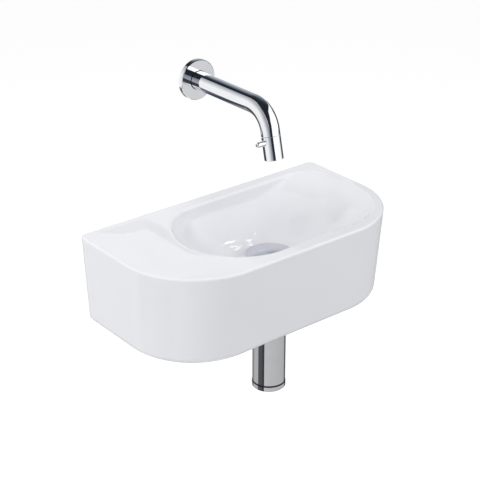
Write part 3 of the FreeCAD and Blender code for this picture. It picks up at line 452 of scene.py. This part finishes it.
def make_threads():
    """Threads on the hanger bolts, the inlet nipple and the waste body."""
    along_wall_axis = (-math.pi / 2, 0.0, 0.0)
    low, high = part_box("hanger_bolts")
    bolt_radius = WALL_THREAD["Radius"]
    first = low.x + bolt_radius
    apart = (high.x - low.x - 2.0 * bolt_radius, 0.0, 0.0)
    pair = {"Apart": apart, "Count": 2, "Turned": along_wall_axis}
    nut_start = (first, low.y - NUT_THREAD["Pitch"] / 2, 0.0)
    wall_start = (first, WALL_THREAD_START, 0.0)
    cut_threads(
        "hanger_bolts", "threaded_hanger_bolts",
        dict(NUT_THREAD, **pair, Start=nut_start), dict(WALL_THREAD, **pair, Start=wall_start),
    )

    low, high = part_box("inlet_nipple")
    inlet_length = (INLET_THREAD["Turns"] - 0.5) * INLET_THREAD["Pitch"]
    inlet_start = ((low.x + high.x) / 2, high.y - inlet_length, (low.z + high.z) / 2)
    cut_threads(
        "inlet_nipple", "threaded_inlet_nipple",
        dict(INLET_THREAD, Start=inlet_start, Turned=along_wall_axis, Count=1),
    )

    waste_start = (BASIN_DRAIN.x, BASIN_DRAIN.y, WASTE_THREAD_END - WASTE_THREAD["Pitch"] / 2)
    cut_threads("waste_body", "threaded_waste_body", dict(WASTE_THREAD, Start=waste_start, Count=1))


CUT_THREAD = thread_tree()
make_threads()


# Spring under the plug

def make_spring():
    """The spring that lifts the plug."""
    piece = merged_copy("click_spring", "plug_spring")
    piece.data.materials.append(FINISHES[slot_of("click_spring")])
    stand_in(piece, "click_spring")
    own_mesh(piece)


make_spring()


# Studio: room, lamps and camera

def background_for(tree, seen, lit):
    """A strength for what the camera, a mirror or a clear piece sees, and another for what is lit."""
    path = tree.nodes.new("ShaderNodeLightPath").outputs
    either = calculate(tree, "MAXIMUM", path["Is Camera Ray"], path["Is Glossy Ray"])
    either = calculate(tree, "MAXIMUM", either, path["Is Transmission Ray"])
    return spread(tree, either, lit, seen, 0.0, 1.0)


def make_world():
    """A white room that lights the part softly from all round."""
    world = bpy.data.worlds.new("studio")
    world.use_nodes = True
    tree = world.node_tree
    sky = tree.nodes["Background"]
    sky.inputs["Color"].default_value = WHITE
    tree.links.new(background_for(tree, 1.0, ROOM_LIGHT), sky.inputs["Strength"])
    bpy.context.scene.world = world


def make_floor():
    """A plain pale floor."""
    mesh = bpy.data.meshes.new("floor")
    sides = ((-1, -1), (1, -1), (1, 1), (-1, 1))
    corners = [(x * FLOOR_REACH, y * FLOOR_REACH, FLOOR_LEVEL) for x, y in sides]
    mesh.from_pydata(corners, [], [(0, 1, 2, 3)])
    material, tree, shader = new_material("pale_floor")
    shader.inputs["Base Color"].default_value = FLOOR_COLOUR
    shader.inputs["Roughness"].default_value = FLOOR_ROUGHNESS
    shader.inputs["Emission Color"].default_value = WHITE
    tree.links.new(background_for(tree, FLOOR_GLOW, 0.0), shader.inputs["Emission Strength"])
    mesh.materials.append(material)
    floor = put("floor", mesh)


def make_lamp(name, place, aim, width, height, power):
    """A softbox that mirrors don't show."""
    data = bpy.data.lights.new(name, "AREA")
    data.shape = "RECTANGLE"
    data.size = width
    data.size_y = height
    data.energy = power
    lamp = put(name, data)
    lamp.location = place
    lamp.rotation_euler = (Vector(aim) - Vector(place)).to_track_quat("-Z", "Y").to_euler()
    lamp.visible_glossy = False


def make_camera():
    """The camera, at the picture's viewpoint."""
    data = bpy.data.cameras.new("camera")
    data.sensor_width = CAMERA_SENSOR
    data.lens = CAMERA_LENS
    data.clip_end = ROOM_REACH
    camera = put("camera", data)
    camera.location = CAMERA_PLACE
    camera.rotation_euler = CAMERA_TURN.to_euler()
    bpy.context.scene.camera = camera


# Studio: cards that only mirrors see

def make_card(name, points, across, shades, tint=1.0, bounces=1, within=ROOM_REACH):
    """A card of rows of points, so many across, seen by mirrors after so many bounces and from so near."""
    # The last point of a row starts no face.
    starts = [k for k in range(len(points) - across) if (k + 1) % across]
    mesh = bpy.data.meshes.new(name)
    mesh.from_pydata(points, [], [(k, k + 1, k + across + 1, k + across) for k in starts])
    colours = mesh.color_attributes.new("shade", "FLOAT_COLOR", "POINT")
    for corner, shade in zip(colours.data, shades):
        cool = tint * max(0.0, 1.0 - shade) ** COOL_FADE
        red = shade * (1.0 - COOL_RED_LOSS * cool)
        green = shade * (1.0 - COOL_GREEN_LOSS * cool)
        corner.color = (red, green, shade, 1.0)
    material, tree, shader = new_material(name)
    shader.inputs["Base Color"].default_value = (0.0, 0.0, 0.0, 1.0)
    shader.inputs["Specular IOR Level"].default_value = 0.0
    shader.inputs["Emission Strength"].default_value = 1.0
    painted = tree.nodes.new("ShaderNodeAttribute")
    painted.attribute_name = "shade"
    tree.links.new(painted.outputs["Color"], shader.inputs["Emission Color"])
    path = tree.nodes.new("ShaderNodeLightPath").outputs
    bounced = calculate(tree, "GREATER_THAN", path["Glossy Depth"], bounces - 0.5)
    near = calculate(tree, "LESS_THAN", path["Ray Length"], within)
    either = tree.nodes.new("ShaderNodeMixShader")
    tree.links.new(calculate(tree, "MULTIPLY", bounced, near), either.inputs["Fac"])
    tree.links.new(tree.nodes.new("ShaderNodeBsdfTransparent").outputs["BSDF"], either.inputs[1])
    tree.links.new(shader.outputs["BSDF"], either.inputs[2])
    tree.links.new(either.outputs["Shader"], tree.nodes["Material Output"].inputs["Surface"])
    material.cycles.emission_sampling = "NONE"
    mesh.materials.append(material)
    card = put(name, mesh)
    card.visible_camera = False
    card.visible_diffuse = False
    card.visible_shadow = False


def reflected(sight, normal):
    """The direction in which a mirror sends a line of sight."""
    return sight - normal * (2.0 * sight.dot(normal))


def towards(azimuth, elevation):
    """A direction: azimuth in degrees from +X round by the front, elevation above the horizon."""
    turn = math.radians(azimuth)
    rise = math.radians(elevation)
    return Vector((math.cos(turn) * math.cos(rise), -math.sin(turn) * math.cos(rise), math.sin(rise)))


def on_spout(along):
    """The middle of the spout and its outer side, so far along it from the wall."""
    bend = min(max((along - SPOUT_RUN) / SPOUT_BEND, 0.0), SPOUT_ANGLE)
    past = max(along - SPOUT_RUN - SPOUT_BEND * SPOUT_ANGLE, 0.0)
    outer = Vector((0.0, -math.sin(bend), math.cos(bend)))
    forward = Vector((0.0, -math.cos(bend), -math.sin(bend)))
    low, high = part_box("spout")
    start = Vector(((low.x + high.x) / 2, -min(along, SPOUT_RUN), high.z - SPOUT_RADIUS - SPOUT_BEND))
    return start + outer * SPOUT_BEND + forward * past, outer


def mirrored(along, around, reach):
    """The place that a point of the spout shows; around is in degrees from +X over its outer side."""
    middle, outer = on_spout(along)
    turn = math.radians(around)
    normal = Vector((math.cos(turn), 0.0, 0.0)) + outer * math.sin(turn)
    spot = middle + normal * SPOUT_RADIUS
    sight = (spot - CAMERA_PLACE).normalized()
    return spot + reflected(sight, normal) * reach


def bent(angle):
    """How far along the spout its bend has turned by so many degrees."""
    return SPOUT_RUN + SPOUT_BEND * math.radians(angle)


def make_strip(name, reach, rows):
    """A cloth that the spout shows: rows of a place along it, then pairs of degrees round it and shade."""
    points, shades = [], []
    for along, *lanes in rows:
        points += [mirrored(along, around, reach) for around in lanes[0::2]]
        shades += lanes[1::2]
    make_card(name, points, len(points) // len(rows), shades, within=reach + CLOTH_SLACK)


def make_spout_cards():
    """Cloths that follow the spout's bend and draw long dark bands on it."""
    bend_end = bent(SPOUT_TURN)
    make_strip("left_fade", CLOTH_REACH, [
        (0.0, 155, 1.0, 140, 0.68, 128, 0.42),
        (SPOUT_RUN, 155, 1.0, 140, 0.68, 128, 0.42),
        (bent(35), 155, 1.0, 142, 0.62, 129, 0.35),
        (bend_end, 155, 1.0, 143, 0.6, 130, 0.2),
        (SPOUT_TIP, 155, 1.0, 143, 0.6, 130, 0.2),
    ])
    make_strip("dark_cloth", CLOTH_REACH, [
        (0.0, 128, 0.03, 117, 0.03, 110, 0.1, 99, 0.4, 72, 0.72),
        (SPOUT_RUN, 128, 0.03, 117, 0.03, 110, 0.1, 99, 0.36, 72, 0.7),
        (bent(20), 128, 0.03, 115, 0.03, 104, 0.05, 92, 0.12, 66, 0.45),
        (bent(34), 129, 0.03, 112, 0.03, 98, 0.03, 88, 0.04, 74, 0.07),
        (bent(45), 130, 0.03, 112, 0.03, 106, 0.03, 104, 0.03, 102, 0.05),
        (bent(60), 130, 0.03, 120, 0.03, 117, 0.03, 115, 0.04, 113, 0.06),
        (bend_end, 130, 0.03, 122, 0.03, 119, 0.03, 118, 0.04, 117, 0.06),
        (SPOUT_TIP, 130, 0.03, 122, 0.03, 119, 0.03, 118, 0.04, 117, 0.06),
    ])
    make_strip("low_cloth", CLOTH_REACH, [
        (0.0, 188, 0.8, 193, 0.2, 205, 0.2, 211, 0.55),
        (SPOUT_RUN, 188, 0.8, 193, 0.2, 205, 0.2, 211, 0.55),
        (bent(35), 184, 0.75, 189, 0.12, 207, 0.12, 212, 0.3),
        (bend_end, 176, 0.75, 181, 0.08, 205, 0.08, 210, 0.12),
        (SPOUT_TIP, 176, 0.75, 181, 0.08, 205, 0.08, 210, 0.12),
    ])
    make_strip("edge_cloth", EDGE_CLOTH_REACH, [
        (bent(25), 44, 0.3, 46, 0.2, 64, 0.2, 68, 0.7),
        (bent(45), 38, 0.2, 41, 0.1, 67, 0.1, 72, 0.8),
        (bend_end, 38, 0.2, 41, 0.08, 69, 0.1, 74, 0.8),
        (SPOUT_TIP, 38, 0.2, 41, 0.08, 69, 0.1, 74, 0.8),
    ])


def make_window():
    """A bright window to the front and right, strongest low down, that fades into the white room."""
    start = WINDOW_MIDDLE - WINDOW_HALF_WIDTH
    azimuths = range(start, start + 2 * WINDOW_HALF_WIDTH, WINDOW_WIDTH_STEP)
    rises = range(WINDOW_LOW, WINDOW_LOW + WINDOW_HEIGHT + 1, WINDOW_HEIGHT_STEP)
    points, shades = [], []
    for azimuth in azimuths:
        aside = (azimuth - WINDOW_MIDDLE) / WINDOW_HALF_WIDTH
        for rise in rises:
            height = (rise - WINDOW_LOW) / WINDOW_HEIGHT
            glow = math.cos(aside * math.pi / 2) ** 2 * (1.0 - height) ** WINDOW_FADE
            points.append(BASIN_DRAIN + towards(azimuth, rise) * WINDOW_REACH)
            shades.append(1.0 + WINDOW_GLOW * glow)
    make_card("bright_window", points, len(rises), shades)


def make_rosette_card():
    """A grey card that the rosette's flat face shows."""
    sight = reflected((ROSETTE_FACE - CAMERA_PLACE).normalized(), Vector((0.0, 1.0, 0.0)))
    side = sight.cross(Vector((0.0, 0.0, 1.0))).normalized() * ROSETTE_CARD_HALF_WIDTH
    rise = side.cross(sight).normalized() * ROSETTE_CARD_HALF_HEIGHT
    middle = ROSETTE_FACE + sight * ROSETTE_CARD_REACH
    corners = [middle - side - rise, middle + side - rise, middle - side + rise, middle + side + rise]
    make_card("rosette_card", corners, 2, [0.66, 0.7, 0.7, 0.76], 0.4)


def make_corner_cloth():
    """A dark cloth on the camera's side, which the corner between the spout and the rosette shows."""
    sight = CAMERA_PLACE - ROSETTE_CORNER
    middle = math.degrees(math.atan2(-sight.y, sight.x))
    # Degrees above the horizon, to the left and to the right of the camera, then shade
    rows = (
        (-40, 4, 28, 0.1), (-15, 14, 20, 0.05), (10, 16, 18, 0.03), (28, 12, 28, 0.04), (36, 4, 48, 0.2),
        (46, 0, 66, 0.6),
    )
    points, shades = [], []
    for rise, left, right, shade in rows:
        for azimuth in (middle + left, middle - right):
            points.append(ROSETTE_CORNER + towards(azimuth, rise) * CORNER_CLOTH_REACH)
            shades.append(shade)
    make_card("corner_cloth", points, 2, shades, bounces=2)


def make_fold_card():
    """A dark card above and behind, which the fold in the shelf shows, with edges that fade to white."""
    azimuths = (-26, -42, -76, -88)
    rises = (29, 37, 46, 54)
    points, shades = [], []
    for azimuth in azimuths:
        for rise in rises:
            edge = azimuth in (azimuths[0], azimuths[-1]) or rise in (rises[0], rises[-1])
            points.append(SHELF_FOLD + towards(azimuth, rise) * FOLD_CARD_REACH)
            shades.append(1.0 if edge else 0.02)
    make_card("fold_card", points, len(rises), shades)


def make_back_card():
    """A grey card behind and to the right, darker at the top, which the rim's right front shows."""
    heights = (0.05, 0.37, 0.43, 0.52)
    # Place across, shade of the two lower rows, shade of the two upper rows
    columns = (
        (0.2, 0.97, 0.97), (0.36, 0.72, 0.72), (0.48, 0.72, 0.2), (0.72, 0.8, 0.1), (0.95, 0.95, 0.95),
    )
    points, shades = [], []
    for across, low, high in columns:
        points += [(across, BACK_CARD_Y, height) for height in heights]
        shades += [low, low, high, high]
    make_card("back_card", points, len(heights), shades)


def make_right_card():
    """A grey card beside the basin, which its round right end shows."""
    corners = [(RIGHT_CARD_X, y, z) for z in (-0.2, 0.05) for y in (-0.3, 0.25)]
    make_card("right_card", corners, 2, [0.5] * len(corners), 0.3)


def make_table():
    """A grey table under the basin, with a dark strip that leads away to the left."""
    # Azimuth from +X round by the front, shade near the tail, reach, shade at that reach
    rays = (
        (161, 0.56, 1.9, 0.5), (120, 0.53, 1.9, 0.55), (75, 0.5, 1.9, 0.7), (30, 0.47, 1.5, 0.7),
        (12, 0.45, 0.85, 0.45), (1, 0.43, 0.8, 0.43), (1, 0.1, 0.8, 0.1), (-28, 0.1, 0.8, 0.1),
        (-28, 0.3, 0.8, 0.3), (-51, 0.3, 1.4, 0.2), (-80, 0.25, 1.5, 0.2), (-108, 0.28, 1.4, 0.4),
        (-108, 0.46, 1.2, 0.6), (-152, 0.47, 1.3, 0.6), (-153, 0.09, 1.3, 0.1), (-177, 0.09, 1.3, 0.1),
        (-188, 0.05, 1.6, 0.05), (-199, 0.05, 1.9, 0.05),
    )
    middle = Vector((BASIN_DRAIN.x, BASIN_DRAIN.y, TABLE_LEVEL))
    points, shades = [], []
    for azimuth, near_shade, far, far_shade in rays:
        points += [middle + towards(azimuth, 0) * away for away in (*TABLE_RINGS, far)]
        shades += [near_shade, near_shade, far_shade]
    make_card("grey_table", points, len(TABLE_RINGS) + 1, shades, 0.15)


def make_glints():
    """Small bright lights that the bowl shows beside the drain, placed by where the picture has them."""
    mesh = nodes["basin"].data
    mesh.calc_loop_triangles()
    triangles = mesh.loop_triangles
    places = [vertex.co for vertex in mesh.vertices]
    surface = BVHTree.FromPolygons(places, [triangle.vertices for triangle in triangles])

    def shown_at(x, y):
        across = (x / PICTURE_SIZE - 0.5) * CAMERA_SENSOR
        up = (0.5 - y / PICTURE_SIZE) * CAMERA_SENSOR
        sight = CAMERA_TURN @ Vector((across, up, -CAMERA_LENS)).normalized()
        spot, _, index, _ = surface.ray_cast(CAMERA_PLACE, sight)
        triangle = triangles[index]
        weights = poly_3d_calc([places[k] for k in triangle.vertices], spot)
        normal = Vector()
        for loop, weight in zip(triangle.loops, weights):
            normal += Vector(mesh.corner_normals[loop].vector) * weight
        return spot + reflected(sight, normal.normalized()) * GLINT_REACH

    for name, start, end, width in GLINTS:
        points = []
        for k in range(GLINT_STEPS + 1):
            x = start[0] + (end[0] - start[0]) * k / GLINT_STEPS
            y = start[1] + (end[1] - start[1]) * k / GLINT_STEPS
            points += [shown_at(x, y - width / 2), shown_at(x, y + width / 2)]
        make_card(name, points, 2, [GLINT_GLOW] * len(points))


make_world()
make_floor()
make_spout_cards()
make_window()
make_rosette_card()
make_corner_cloth()
make_fold_card()
make_back_card()
make_right_card()
make_table()
make_glints()
for lamp_name, settings in LAMPS.items():
    make_lamp(lamp_name, *settings)
make_camera()
bpy.context.scene.view_settings.view_transform = "Standard"
